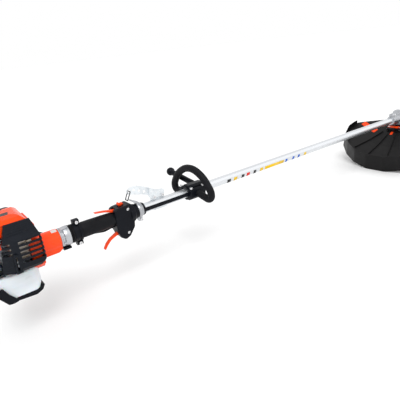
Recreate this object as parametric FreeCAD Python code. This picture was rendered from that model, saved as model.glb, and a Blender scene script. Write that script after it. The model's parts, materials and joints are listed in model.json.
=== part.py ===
import FreeCAD, Part
import math
import os

from FreeCAD import Vector

# Petrol brush cutter with a loop handle, a straight drive tube and a bevel gear head.
# Millimetres. The model is laid out about the drive tube: X runs along the tube towards
# the cutting head with x = 0 at the front face of the clutch housing, Y is the user's
# left, Z is up and the tube axis is y = z = 0. ORIGIN is the point that becomes the
# row's origin when the pieces are written.

# ---------------------------------------------------------------- driving dimensions
ORIGIN = Vector(771.4, 0.0, -207.82)

FIT = 0.04                # radial play of a running fit
WALL = 2.6                # moulded cover wall

TUBE_R = 14.0
TUBE_WALL = 1.5
TUBE_X0 = 4.0
TUBE_X1 = 1579.0
SHAFT_R = 4.0

CRANK_R = 6.0
CRANK_THROW = 14.0
BORE_R = 19.0
CYLINDER_X = -119.0
PULLEY_X = -182.0         # plane of the starter pulley and rope
ROPE_Y = 26.0
ROPE_R = 1.5

DRUM_OUT_R = 22.4
DRUM_IN_R = 20.2
SHOE_R = 19.2
FLYWHEEL_R = 44.0

NOSE_X = -8.0             # front face of the clutch nose
HEAD_X = 1615.0           # where the blade axis meets the tube axis
TILT = math.radians(30)   # blade axis leans forward by this angle
PINION_TEETH = 15
GEAR_TEETH = 20
CONE_OUT = 26.0           # outer cone distance of the bevel pair
CONE_IN = 16.0
OUTPUT_R = 6.0
ARBOR_R = 5.0             # threaded end below the blade holder
BLADE_R = 127.5
BLADE_T = 2.0
BLADE_D = 76.0            # distance of the blade's upper face below the axes' crossing
BLADE_TEETH = 4

SHIELD_TOP_D = 24.0       # rim of the shield, measured down the blade axis
SHIELD_DECK_D = 42.0
SHIELD_LOW_D = 91.0
SHIELD_T = 2.6
# (degrees from straight back, upper rim radius, lower rim radius) round half the shield
SHIELD_RIM = [(93.5, 150.0, 158.0), (87.0, 214.0, 232.0), (77.0, 240.0, 268.0),
              (62.0, 249.0, 277.0), (45.0, 242.0, 267.0), (28.0, 239.0, 263.0),
              (10.0, 236.0, 262.0)]
FLANGE_T = 5.0            # gear case flange that the shield is screwed to

TRIGGER_PIVOT = (157.0, -43.0)
LOCK_PIVOT = (152.0, 20.0)
HANDLE_X = 409.0
HANDLE_R = 11.0
HANDLE_YAW = 9.0          # loop and bar are turned so that the left side sits further back

BEARING_OUT_R = 12.0      # one size of ball bearing throughout
BEARING_IN_R = 6.0
BEARING_W = 8.0
SCREW_R = 2.5             # one size of cap screw throughout
SCREW_LENGTH = 20.0
SCREW_HEAD_R = 4.25
SCREW_HEAD_H = 4.5

BLADE_DIR = Vector(math.sin(TILT), 0, -math.cos(TILT))
HEAD = Vector(HEAD_X, 0, 0)
BACK_DIR = Vector(-math.cos(TILT), 0, -math.sin(TILT))
LEFT_DIR = Vector(0, 1, 0)
X_DIR = (1, 0, 0)
Y_DIR = (0, 1, 0)
Z_DIR = (0, 0, 1)
TOUCH = 1e-4
STRAIGHT = math.radians(179.5)

PLANES = {
    "xy": lambda a, b, c: Vector(a, b, c),
    "xz": lambda a, b, c: Vector(a, c, b),
    "yz": lambda a, b, c: Vector(c, a, b),
}


# ---------------------------------------------------------------- general shapes
def cylinder(start, direction, radius, length):
    return Part.makeCylinder(radius, length, Vector(*start), Vector(*direction))


def ring(start, direction, outer, inner, length):
    blank = cylinder(start, direction, outer, length)
    return blank.cut(cylinder(start, direction, inner, length))


def box(x0, x1, y0, y1, z0, z1):
    return Part.makeBox(x1 - x0, y1 - y0, z1 - z0, Vector(x0, y0, z0))


def rounded_wire(points, radius, plane, level):
    """Closed outline with each corner replaced by a tangent arc."""
    place = PLANES[plane]
    corners = [place(a, b, level) for a, b in points]
    count = len(corners)
    radii = radius if isinstance(radius, (list, tuple)) else [radius] * count
    spans = []
    for i, corner in enumerate(corners):
        back = corners[i - 1] - corner
        ahead = corners[(i + 1) % count] - corner
        if radii[i] <= 0 or back.getAngle(ahead) > STRAIGHT:
            spans.append((corner, None, corner))
            continue
        room = 0.48 * min(back.Length, ahead.Length)
        back.normalize()
        ahead.normalize()
        half = back.getAngle(ahead) / 2
        run = min(radii[i] / math.tan(half), room)
        bisector = back + ahead
        bisector.normalize()
        reach = run / math.cos(half) - run * math.tan(half)
        spans.append((corner + back * run, corner + bisector * reach, corner + ahead * run))
    edges = []
    for i, (start, middle, end) in enumerate(spans):
        if middle is not None:
            edges.append(Part.Arc(start, middle, end).toShape())
        following = spans[(i + 1) % count][0]
        if end.distanceToPoint(following) > TOUCH:
            edges.append(Part.makeLine(end, following))
    return Part.Wire(edges)


def plate(points, radius, plane, low, high):
    """Flat piece with a rounded outline, from low to high across its plane."""
    face = Part.Face(rounded_wire(points, radius, plane, low))
    return face.extrude(PLANES[plane](0, 0, high - low))


def turned(profile, start=Vector(0, 0, 0), direction=Vector(1, 0, 0)):
    """Solid of revolution from (distance along the axis, radius) pairs."""
    points = [Vector(along, radius, 0) for along, radius in profile]
    face = Part.Face(Part.makePolygon(points + points[:1]))
    solid = face.revolve(Vector(0, 0, 0), Vector(1, 0, 0), 360)
    solid.Placement = FreeCAD.Placement(start, FreeCAD.Rotation(Vector(1, 0, 0), direction))
    return solid


def rim_edges(shape, axis, level):
    """Edges that lie wholly in the plane axis = level."""
    names = {"x": ("XMin", "XMax"), "y": ("YMin", "YMax"), "z": ("ZMin", "ZMax")}[axis]
    picked = []
    for edge in shape.Edges:
        bounds = [getattr(edge.BoundBox, name) for name in names]
        if max(abs(bound - level) for bound in bounds) < 0.01:
            picked.append(edge)
    return picked


def soften_rims(shape, radius, axis, *levels):
    for level in levels:
        shape = shape.makeFillet(radius, rim_edges(shape, axis, level))
    return shape


def fuse(*solids):
    return solids[0].multiFuse(list(solids[1:])).removeSplitter()


def spin(shape, angle, start=Vector(0, 0, 0), direction=Vector(1, 0, 0)):
    copy = shape.copy()
    copy.rotate(start, direction, angle)
    return copy


def around(shape, count, start=Vector(0, 0, 0), direction=Vector(1, 0, 0)):
    return [spin(shape, 360.0 * i / count, start, direction) for i in range(count)]


def pipe(points, bend, radius):
    """Round bar along straight runs joined by arcs; bend is one radius or one per corner."""
    bends = bend if isinstance(bend, list) else [bend] * (len(points) - 2)
    path = [Vector(*point) for point in points]
    edges = []
    start = path[0]
    for i in range(1, len(path) - 1):
        back = path[i - 1] - path[i]
        ahead = path[i + 1] - path[i]
        back.normalize()
        ahead.normalize()
        half = back.getAngle(ahead) / 2
        curve = bends[i - 1]
        run = curve / math.tan(half)
        bisector = back + ahead
        bisector.normalize()
        enter = path[i] + back * run
        leave = path[i] + ahead * run
        middle = path[i] + bisector * (curve / math.sin(half) - curve)
        if start.distanceToPoint(enter) > TOUCH:
            edges.append(Part.makeLine(start, enter))
        edges.append(Part.Arc(enter, middle, leave).toShape())
        start = leave
    edges.append(Part.makeLine(start, path[-1]))
    spine = Part.Wire(edges)
    heading = path[1] - path[0]
    section = Part.Wire([Part.makeCircle(radius, path[0], heading)])
    return spine.makePipeShell([section], True, True)


def rod_chain(points, radius):
    """Round wire bent at each point."""
    path = [Vector(*point) for point in points]
    solids = []
    for start, end in zip(path, path[1:]):
        run = end - start
        solids.append(Part.makeCylinder(radius, run.Length, start, run))
        solids.append(Part.makeSphere(radius, end))
    return fuse(*solids)


def cap_screw(start, direction):
    """Socket-head screw: start is the underside of the head, direction the way it drives."""
    inward = Vector(*direction)
    inward.normalize()
    base = Vector(*start)
    top = base - inward * SCREW_HEAD_H
    body = fuse(Part.makeCylinder(SCREW_R, SCREW_LENGTH, base, inward),
                Part.makeCylinder(SCREW_HEAD_R, SCREW_HEAD_H, top, inward))
    return body.cut(hexagon(top, inward, 4.2, SCREW_HEAD_H * 0.6))


def hexagon(start, direction, across_flats, height):
    corner = across_flats / math.sqrt(3)
    points = [Vector(corner * math.cos(math.radians(60 * i)),
                     corner * math.sin(math.radians(60 * i)), 0) for i in range(6)]
    prism = Part.Face(Part.makePolygon(points + points[:1])).extrude(Vector(0, 0, height))
    prism.Placement = FreeCAD.Placement(Vector(*start),
                                        FreeCAD.Rotation(Vector(0, 0, 1), Vector(*direction)))
    return prism


def on_head(back, left, down):
    """Point given along the shield's back direction, to the left and down the blade axis."""
    return HEAD + BACK_DIR * back + LEFT_DIR * left + BLADE_DIR * down


# ---------------------------------------------------------------- clutch and nose
SHROUD_LUGS = [(-44, -22), (-44, 30), (44, -22), (44, 30)]
SHOE_PIN_Y = (-15.0, 15.0)
SHOE_PIN_R = 3.0


def nose_outline(radius, bottom):
    """Round barrel on a narrower flat foot, in the plane across the tube."""
    arch = [(radius * math.cos(math.radians(a)), radius * math.sin(math.radians(a)))
            for a in range(-36, 217, 12)]
    return [(radius * 0.74, bottom)] + arch + [(-radius * 0.74, bottom)]


def clutch_housing():
    nose = plate(nose_outline(26.0, -29.5), 0, "yz", -64.0, NOSE_X)
    foot_cut = plate([(-20, -30), (-7, -30), (-7, -21)], 0, "xz", -40, 40)
    shroud = cylinder((-88, 0, 0), X_DIR, 52.0, 26.0)
    lugs = [cylinder((-88, y, z), X_DIR, 8.0, 26.0) for y, z in SHROUD_LUGS]
    body = fuse(nose.cut(foot_cut), shroud, *lugs)
    body = soften_rims(body, 4.0, "x", NOSE_X)
    vents = [box(-58, -26, -1.4 + y, 1.4 + y, -31, -26) for y in (-12, -6, 0, 6, 12)]
    rooms = [
        cylinder((-65, 0, 0), X_DIR, 23.4, 41.0),
        cylinder((-88.5, 0, 0), X_DIR, 48.5, 24.0),
        cylinder((-25, 0, 0), X_DIR, BEARING_OUT_R, 10.0),
        cylinder((-25, 0, 0), X_DIR, 9.0, 20.0),
        box(-60, -24, -16.5, 16.5, -27, -14),
    ]
    for y, z in SHROUD_LUGS:
        rooms.append(cylinder((-89, y, z), X_DIR, SCREW_R, 30.0))
        rooms.append(cylinder((-76, y, z), X_DIR, SCREW_HEAD_R + 0.5, 20.0))
    for tool in rooms + vents:
        body = body.cut(tool)
    return body


def clutch_shoes():
    disc = ring((-50, 0, 0), X_DIR, SHOE_R, 8.0, 18.0)
    shoes = disc.cut(box(-51, -31, -2.5, 2.5, -30, 30))
    for y in SHOE_PIN_Y:
        shoes = shoes.cut(cylinder((-53, y, 0), X_DIR, SHOE_PIN_R, 30.0))
    return Part.makeCompound(shoes.Solids)


def clutch_drum():
    cup = ring((-52, 0, 0), X_DIR, DRUM_OUT_R, DRUM_IN_R, 24.0)
    web = cylinder((-28, 0, 0), X_DIR, DRUM_OUT_R, 3.0)
    hub = cylinder((-25, 0, 0), X_DIR, BEARING_IN_R, 21.0)
    body = fuse(cup, web, hub)
    return body.cut(cylinder((-20, 0, 0), X_DIR, SHAFT_R, 30.0))


def flywheel():
    disc = turned([(-82, CRANK_R), (-82, 38), (-78, FLYWHEEL_R), (-72, FLYWHEEL_R), (-72, 18),
                   (-64, 14), (-64, CRANK_R)])
    fins = around(box(-72.2, -66, -1.0, 1.0, 18, 42), 18)
    magnet = box(-81.5, -72.5, -9, 9, 38, FLYWHEEL_R + 1.5)
    magnet = magnet.common(cylinder((-82, 0, 0), X_DIR, FLYWHEEL_R + 0.8, 12))
    arm = box(-64.2, -60, -20, 20, -5, 5).cut(cylinder((-70, 0, 0), X_DIR, CRANK_R, 20.0))
    pins = [cylinder((-62, y, 0), X_DIR, SHOE_PIN_R, 28.0) for y in SHOE_PIN_Y]
    return fuse(disc, magnet, arm, *fins, *pins)


def crankshaft():
    front = cylinder((-116, 0, 0), X_DIR, CRANK_R, 52.0)
    nose = cylinder((-64, 0, 0), X_DIR, CRANK_R - 1.0, 20.0)
    rear = cylinder((-158, 0, 0), X_DIR, CRANK_R, 35.5)
    webs = []
    for x in (-128.5, -115.5):
        disc = cylinder((x, 0, 0), X_DIR, 23.0, 6.0)
        relief = box(x - 1, x + 7, -30, -9, 5, 30).fuse(box(x - 1, x + 7, 9, 30, 5, 30))
        webs.append(disc.cut(relief))
    pin = cylinder((-123, 0, CRANK_THROW), X_DIR, 5.0, 8.0)
    dog = fuse(ring((-164, 0, 0), X_DIR, 13.0, CRANK_R - 0.5, 6.0),
               cylinder((-164, 0, 0), X_DIR, CRANK_R, 6.0))
    return fuse(front, nose, rear, pin, dog, *webs)


def crankcase():
    front, rear, seat_in = -88.5, -150.0, 12.0
    barrel = cylinder((rear, 0, 0), X_DIR, 32.0, front - rear)
    deck = box(rear + 3, front, -30, 30, 0, 33.0)
    foot = box(rear, front, -26, 26, -33.0, -20)
    ears = [cylinder((-100.5, y, z), X_DIR, 7.5, 12.0) for y, z in SHROUD_LUGS]
    arms = [box(-100.5, front, *sorted((y, 0)), z - 8, z + 3) for y, z in SHROUD_LUGS]
    ends = [box(rear, rear + 8.0, -30, 30, z - 5, z + 5) for z in (-22, 22)]
    body = fuse(barrel, deck, foot, *ears, *arms, *ends)
    rooms = [
        cylinder((-137.0, 0, 0), X_DIR, 25.0, 38.0),
        cylinder((-100.0, 0, 0), X_DIR, BEARING_OUT_R, 14.0),
        cylinder((rear - 1, 0, 0), X_DIR, BEARING_OUT_R, seat_in + 2.0),
        cylinder((CYLINDER_X, 0, 20), Z_DIR, BORE_R + 2.5, 20),
    ]
    rooms += [cylinder((-110, y, z), X_DIR, SCREW_R, 30.0) for y, z in SHROUD_LUGS]
    for room in rooms:
        body = body.cut(room)
    return body


def ball_bearings():
    """Crank, clutch drum, pinion and output shaft all run in the same bearing."""
    along = [(Vector(x, 0, 0), Vector(1, 0, 0)) for x in (-146.0, -98.0, -23.0, TUBE_X1 + 0.5)]
    along += [(HEAD + BLADE_DIR * down, BLADE_DIR) for down in (-34.0, 14.0)]
    return Part.makeCompound([ring(start, way, BEARING_OUT_R, BEARING_IN_R + FIT, BEARING_W)
                              for start, way in along])


def cylinder_block():
    sleeve = cylinder((CYLINDER_X, 0, 27), Z_DIR, BORE_R + 2.5, 58.0)
    flange = plate([(-147, -28), (-91, -28), (-91, 28), (-147, 28)], 6, "xy", 33.0, 38.0)
    fins = []
    for level in range(7):
        z = 43.0 + 6.6 * level
        half = 34.0 if level < 5 else 30.0
        fins.append(plate([(CYLINDER_X - half, -37), (CYLINDER_X + 28, -37),
                           (CYLINDER_X + 28, 37), (CYLINDER_X - half, 37)], 9, "xy", z, z + 2.2))
    head = cylinder((CYLINDER_X, 0, 78), Z_DIR, 24.0, 10.0)
    exhaust = box(CYLINDER_X - 15, CYLINDER_X + 15, -43, 0, 46, 66)
    intake = box(CYLINDER_X - 14, CYLINDER_X + 14, 0, 43, 40, 62)
    body = fuse(sleeve, flange, head, exhaust, intake, *fins)
    body = body.cut(cylinder((CYLINDER_X, 0, 20), Z_DIR, BORE_R, 60.5))
    body = body.cut(cylinder((CYLINDER_X, 0, 70), Z_DIR, 5.0, 30))
    body = body.cut(box(CYLINDER_X - 10, CYLINDER_X + 10, -44, 0, 50, 62))
    return body.cut(cylinder((CYLINDER_X, 0, 51), Y_DIR, 8.0, 44.0))


def spark_plug():
    """Plug screwed into the head, standing straight up under the top cover."""
    base = Vector(CYLINDER_X, 0, 74)
    thread = Part.makeCylinder(5.0, 14.0, base)
    shell = hexagon((CYLINDER_X, 0, 88.0), Z_DIR, 15.0, 6.0)
    neck = Part.makeCylinder(3.6, 4.0, Vector(CYLINDER_X, 0, 94.0))
    return fuse(thread, shell, neck)


def ignition_coil():
    """Coil block with its high-tension lead and plug cap, sold and fitted as one piece."""
    block = plate([(-103, 38.5), (-89, 38.5), (-89, 52), (-103, 52)], 3, "xy", 40.0, 62.0)
    boot = cylinder((CYLINDER_X, 0, 94.2), Z_DIR, 7.0, 6.6)
    elbow = cylinder((CYLINDER_X, 0, 98.4), (0.0, 1.0, -0.12), 3.2, 18.0)
    cap = fuse(boot, elbow).cut(cylinder((CYLINDER_X, 0, 93), Z_DIR, 3.6, 5.1))
    lead = pipe([(CYLINDER_X, 12, 97.0), (CYLINDER_X, 40, 92.6), (-97.0, 45, 76), (-97.0, 45, 60)],
                6.0, 2.5)
    return fuse(cap, lead, block)



# ---------------------------------------------------------------- engine covers
def muffler():
    can = plate([(-92, -52.5), (-92, -66), (-118, -66), (-130, -59.5), (-134, -52.5)],
                [4, 6, 6, 4, 2], "xy", 6.0, 56.0)
    can = soften_rims(can, 3.0, "z", 6.0, 56.0)
    seam = plate([(-90.5, -51.5), (-90.5, -67.2), (-118.5, -67.2), (-131, -60.3),
                  (-135.5, -51.5)], [4, 6, 6, 4, 2], "xy", 33.0, 36.0)
    seam = seam.cut(box(-150, -88, -52.9, -40, 30, 50))
    flange = box(CYLINDER_X - 13, CYLINDER_X + 13, -54, -43, 47, 64)
    outlet = cylinder((-93, -60, 46), X_DIR, 5.6, 10.0)
    body = fuse(can, seam, flange, outlet)
    room = box(-118, -95, -63.5, -54.5, 9, 53)
    bore = cylinder((-97, -60, 46), X_DIR, 4.4, 20.0)
    port = box(CYLINDER_X - 10, CYLINDER_X + 10, -58, -42, 50, 53.5)
    return body.cut(room).cut(bore).cut(port)


COVER_PROFILE = [(-49, 95), (-53, 91), (-66, 66), (-72, 57), (-73, 52), (-73, -10), (-67, -19),
                 (-49, -19)]
COVER_PLAN = [(-60, -49), (-60, -69), (-64, -73), (-119, -73), (-154, -52), (-158, -49)]
COVER_SIDE = [(-76, -20), (-60, -3), (-60, 50), (-64, 63), (-74, 98), (-126, 98), (-134, 80),
              (-141, 59), (-157, -20)]


def cover_block(shrink):
    """Muffler cover envelope, drawn in by shrink on every outer face."""
    def scaled(points, centre):
        moved = []
        for a, b in points:
            da, db = centre[0] - a, centre[1] - b
            moved.append((a + math.copysign(min(abs(da), shrink), da),
                          b + math.copysign(min(abs(db), shrink), db)))
        return moved
    across = plate(scaled(COVER_PROFILE, (-49, 45)), 4, "yz", -172.0, -60.0)
    down = plate(scaled(COVER_PLAN, (-116, -49)), [0, 3, 3, 9, 3, 0], "xy", -21.0, 99.0)
    side = plate(scaled(COVER_SIDE, (-116, 40)), 0, "xz", -91.0, -48.0)
    return across.common(down).common(side)


def muffler_cover():
    shell = cover_block(0).cut(cover_block(WALL))
    shell = shell.cut(box(-171, -58, -52.0, -40, -15, 90))
    shell = shell.cut(box(-104, -58, -53.5, -40, -21, 40))
    for level in range(5):
        z = 47.0 - 11.5 * level
        shell = shell.cut(box(-112, -58, -92, -60, z, z + 6.5))
        if level < 3:
            shell = shell.cut(box(-160, -128, -90, -50, z, z + 6.0))
    ribs = []
    for step in range(5):
        y = -52.6 - 2.7 * step
        z = 90.1 - 4.86 * step
        ribs.append(cylinder((-126 - step, y, z), X_DIR, 1.1, 46.0))
    corner = plate([(-117, -18), (-132, -18), (-128, 30), (-117, 26)], 2, "xz", -75.0, -60)
    slot = plate([(-122.5, -12), (-127.5, -12), (-125.0, 22), (-121, 22)], 1, "xz", -80, -66)
    room = cover_block(WALL)
    corner = corner.cut(room).cut(slot)
    return fuse(shell, corner, *ribs).cut(slot)


TOP_PROFILE = [(-48.8, 94), (-41, 101), (-24, 105), (20, 105), (38, 102), (54, 90), (57, 76)]


def engine_cover():
    """Top shroud over the cylinder, open below and towards the muffler and carburettor."""
    inset = [(y * 0.95, z - WALL) for y, z in TOP_PROFILE]
    outer = plate(TOP_PROFILE + [(57, 66), (-48.8, 66)], [0, 8, 14, 14, 8, 8, 0, 0, 0], "yz",
                  -172.0, -64.0)
    inner = plate([(-47, 60)] + inset + [(54, 60)], 0, "yz", -169.4, -66.6)
    slope = plate([(-62, 60), (-66, 70), (-78, 92), (-90, 103), (-108, 106), (-150, 106),
                   (-168, 100), (-173, 86), (-173, 60)], [0, 8, 12, 16, 20, 20, 12, 6, 0], "xz",
                  -60, 60)
    shell = outer.common(slope).cut(inner.common(slope.translated(Vector(0, 0, -WALL))))
    shell = shell.cut(box(-144, -61, -60, -46.9, 60, 92.0))
    side = box(-172, -144, -48.8, -46.2, 40, 70)
    grip = plate([(-172, 98), (-170, 112), (-137, 112), (-127, 103)], 3, "xz", -36, 4)
    skirt = box(-172, -169.4, -49, 55, -8, 70).cut(cylinder((-173, 0, 0), X_DIR, 47.0, 5.0))
    front = box(-67, -64.4, -46, 55, 48, 74).cut(cylinder((-70, 0, 0), X_DIR, 52.3, 10))
    shell = fuse(shell, skirt, front, side, grip).cut(box(-142, -94, 47.5, 60, 40, 76))
    for step in range(4):
        x = -150.0 + 12.0 * step
        shell = shell.cut(box(x, x + 4.0, 22, 44, 90, 115))
    return shell


def starter_cover():
    """Recoil starter housing behind the engine, with the rope guide at its upper left."""
    drum = turned([(-197, 0), (-197, 30), (-192, 42), (-186, 46.8), (-166.4, 46.8),
                   (-166.4, 44.0), (-184, 44.0), (-190, 39.6), (-194.4, 28.6), (-194.4, 0)])
    for i in range(10):
        drum = drum.cut(spin(box(-199, -186, -1.8, 1.8, 18, 33), 36 * i))
    post = cylinder((-194.5, 0, 0), X_DIR, 5.0, 17.0)
    guide = cylinder((PULLEY_X, ROPE_Y, 30), Z_DIR, 7.0, 28.0)
    guide = guide.cut(cylinder((-173, 0, 0), (-1, 0, 0), 44.0, 30.0))
    feet = [box(-170.0, rear_x, y - 4, y + 4, z - 4, z + 4)
            for rear_x in (-150.0,) for y in (-24, 24) for z in (-24, 24)]
    tie = ring((-166.4 - 3.0, 0, 0), X_DIR, 46.0, 27.0, 3.0)
    body = fuse(drum, post, guide, tie, *feet)
    return body.cut(cylinder((PULLEY_X, ROPE_Y, 0), Z_DIR, ROPE_R + 0.6, 70.0))


def starter_pulley():
    """Rope drum on the starter post, with the two pawls that catch the crank's dog."""
    back, front = PULLEY_X - 4.0, PULLEY_X + 4.0
    hub = 5.0 + FIT
    body = turned([(back, hub), (back, 28.0), (back + 1.8, 28.0), (back + 1.8, 24.0),
                   (front - 1.8, 24.0), (front - 1.8, 28.0), (front, 28.0), (front, hub)])
    pawls = [cylinder((front - 0.5, y, 0), X_DIR, 2.5, 11.0) for y in (-17.5, 17.5)]
    return fuse(body, *pawls)


def starter_handle():
    """Pull grip with the straight run of rope that leads down to the pulley."""
    grip = plate([(PULLEY_X - 8.5, ROPE_Y - 14), (PULLEY_X + 8.5, ROPE_Y - 14),
                  (PULLEY_X + 8.5, ROPE_Y + 14), (PULLEY_X - 8.5, ROPE_Y + 14)], 7, "xy",
                 58.5, 71.0)
    grip = soften_rims(grip, 3.5, "z", 58.5, 71.0)
    rope = cylinder((PULLEY_X, ROPE_Y, 2.0), Z_DIR, ROPE_R, 60.0)
    return fuse(grip, rope)




# ---------------------------------------------------------------- fuel and air
def carburettor():
    body = plate([(-134, 32), (-104, 32), (-104, 66), (-134, 66)], 4, "xz", 46.0, 68.0)
    spacer = box(-132, -106, 43, 46, 40, 62)
    pump = plate([(-131, 22), (-105, 22), (-105, 32.5), (-131, 32.5)], 3, "xz", 48.0, 66.0)
    flange = box(-136, -102, 68, 70, 36, 64)
    bulb_seat = ring((PURGE_X, 57.0, 17.6), Z_DIR, 9.0, 7.2, 4.6)
    body = fuse(body, spacer, pump, flange, bulb_seat)
    rooms = [
        cylinder((CYLINDER_X, 42, 51), Y_DIR, 8.0, 30.0),
        cylinder((CYLINDER_X, 57.0, 62.0), Z_DIR, 3.0 + FIT, 7.0),
        cylinder((PURGE_X, 57.0, 17.0), Z_DIR, 7.2, 10.0),
    ]
    for room in rooms:
        body = body.cut(room)
    return body


PURGE_X = -114.0


def throttle_cam():
    """Swivel lever on the carburettor that the control cable turns."""
    stem = cylinder((CYLINDER_X, 57.0, 62.4), Z_DIR, 3.0, 5.0)
    disc = cylinder((CYLINDER_X, 57.0, 66.6), Z_DIR, 9.0, 3.0)
    arm = plate([(-119, 52), (-103, 54.5), (-103, 59.5), (-119, 62)], 2, "xy", 66.6, 69.6)
    return fuse(stem, disc, arm)


def purge_bulb():
    dome = Part.makeSphere(7.0, Vector(PURGE_X, 57.0, 21.0))
    return dome.common(box(PURGE_X - 8, PURGE_X + 8, 48, 66, 10, 21.5))


def choke_lever():
    shaft = cylinder((-128.0, 71.0, 40.0), Y_DIR, 3.0, 34.0)
    arm = plate([(-131, 37), (-125, 37), (-125, 43), (-149, 30), (-150, 25)], 1.5, "xz",
                104.4, 107.4)
    return fuse(shaft, arm)


def air_cleaner_case():
    tray = plate([(-152, 18), (-84, 18), (-84, 82), (-152, 82)], 12, "xz", 70.3, 80.0)
    tray = tray.cut(plate([(-149, 21), (-87, 21), (-87, 79), (-149, 79)], 10, "xz", 72.8, 81.0))
    throat = cylinder((CYLINDER_X, 69, 51), Y_DIR, 8.0, 8.0)
    stud = cylinder((-100.0, 70.3, 50.0), Y_DIR, 3.0, 34.7)
    body = fuse(tray, stud).cut(throat)
    return body.cut(cylinder((-128.0, 69.0, 40.0), Y_DIR, 3.0 + FIT, 8.0))


def air_filter():
    slab = plate([(-148, 22), (-88, 22), (-88, 78), (-148, 78)], 9, "xz", 80.4, 92.0)
    slab = slab.cut(cylinder((-100.0, 75, 50.0), Y_DIR, 3.2, 20.0))
    return slab.cut(cylinder((-128.0, 75.0, 40.0), Y_DIR, 3.4, 20.0))


def air_cleaner_cover():
    lid = plate([(-156, 14), (-80, 14), (-80, 86), (-156, 86)], 14, "xz", 80.2, 104.0)
    lid = soften_rims(lid, 6.0, "y", 104.0)
    room = plate([(-153, 17), (-83, 17), (-83, 83), (-153, 83)], 12, "xz", 79.0, 101.0)
    lid = lid.cut(room)
    boss = ring((-100.0, 92.4, 50.0), Y_DIR, 6.0, 3.2, 9.0)
    lid = fuse(lid, boss)
    ribs = [box(-146 + 7.0 * i, -143.5 + 7.0 * i, 103.0, 105.4, 62, 76) for i in range(9)]
    lid = fuse(lid, *ribs)
    for z in (22, 27, 32):
        lid = lid.cut(box(-122, -90, 98, 108, z, z + 2.4))
    lid = lid.cut(cylinder((-100.0, 100, 50.0), Y_DIR, 3.2, 10.0))
    return lid.cut(cylinder((-128.0, 99.0, 40.0), Y_DIR, 3.0 + FIT, 8.0))


def air_cleaner_knob():
    knob = cylinder((-100.0, 104.3, 50.0), Y_DIR, 11.0, 9.0)
    knob = soften_rims(knob, 2.0, "y", 113.3)
    flutes = around(cylinder((-100.0, 103, 62.4), Y_DIR, 3.0, 12.0), 8, Vector(-100.0, 0, 50.0),
                    Vector(0, 1, 0))
    for flute in flutes:
        knob = knob.cut(flute)
    return knob.cut(cylinder((-100.0, 103, 50.0), Y_DIR, 3.0 + FIT, 2.2))


TANK_TOP_Z = -34.0
TANK_RIGHT_Y = -47.0
TANK_CAP = Vector(-104.0, 52.0, -60.0)


def tank_envelope(shrink):
    side = [(-78 - shrink, -34 + 4), (-78 - shrink, -68), (-90, -86 + shrink),
            (-172, -86 + shrink), (-184 + shrink, -68), (-184 + shrink, -34 + 4)]
    plan = [(-78 - shrink, TANK_RIGHT_Y + shrink), (-78 - shrink, 53 - shrink),
            (-184 + shrink, 53 - shrink), (-184 + shrink, TANK_RIGHT_Y + shrink)]
    upright = plate(side, [0, 16, 16, 16, 16, 0], "xz", -54, 54)
    return upright.common(plate(plan, 20 - shrink, "xy", -93, TANK_TOP_Z + 4 - shrink))


def fuel_tank():
    """Blow-moulded tank with a saddle in its top for the fan shroud and crankcase."""
    outer = tank_envelope(0)
    outer = soften_rims(outer, 5.0, "z", TANK_TOP_Z + 4)
    inner = tank_envelope(2.4)
    saddle = cylinder((-92.0, 0, 0), X_DIR, 53.0, 20.0)
    trench = box(-156, -80, -34, 34, TANK_TOP_Z, TANK_TOP_Z + 10)
    rear = cylinder((-190, 0, 0), X_DIR, 48.5, 40.0)
    inner = inner.cut(cylinder((-94.4, 0, 0), X_DIR, 55.4, 24.4))
    inner = inner.cut(box(-159, -77, -36.4, 36.4, TANK_TOP_Z - 2.4, TANK_TOP_Z + 10))
    inner = inner.cut(cylinder((-190, 0, 0), X_DIR, 50.9, 42.4))
    neck = ring((TANK_CAP.x, 50.0, TANK_CAP.z), Y_DIR, 15.5, 11.0, 8.0)
    body = outer.cut(saddle).cut(trench).cut(rear).cut(inner)
    body = fuse(body, neck)
    body = body.cut(cylinder((TANK_CAP.x, 45.0, TANK_CAP.z), Y_DIR, 11.0, 14.0))
    return body.cut(cylinder(GROMMET, Z_DIR, 6.0, 18.0))


def fuel_cap():
    cap = cylinder((TANK_CAP.x, 58.2, TANK_CAP.z), Y_DIR, 19.0, 12.0)
    cap = soften_rims(cap, 2.5, "y", 70.2)
    plug = cylinder((TANK_CAP.x, 50.5, TANK_CAP.z), Y_DIR, 11.0 - FIT, 8.0)
    grip = box(TANK_CAP.x - 3, TANK_CAP.x + 3, 70.0, 75.0, TANK_CAP.z - 16, TANK_CAP.z + 16)
    cap = fuse(cap, plug, grip)
    notches = around(cylinder((TANK_CAP.x, 58, TANK_CAP.z + 20.2), Y_DIR, 2.2, 13.0), 12,
                     TANK_CAP, Vector(0, 1, 0))
    for notch in notches:
        cap = cap.cut(notch)
    return cap


def fuel_lines():
    """Supply and return hoses with the grommet that seals them into the tank."""
    x, y, z = GROMMET
    grommet = cylinder((x, y, z + 6), Z_DIR, 6.0, 10.0)
    lines = [pipe([(x + side, y, z + 8), (x + side, y, -18), (x, end_y, 4), (x, end_y, 22)],
                  7.0, 2.0) for side, end_y in ((3.0, 53.0), (-3.0, 62.0))]
    return fuse(grommet, *lines)


GROMMET = (-128.0, 45.0, -43.0)


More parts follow.
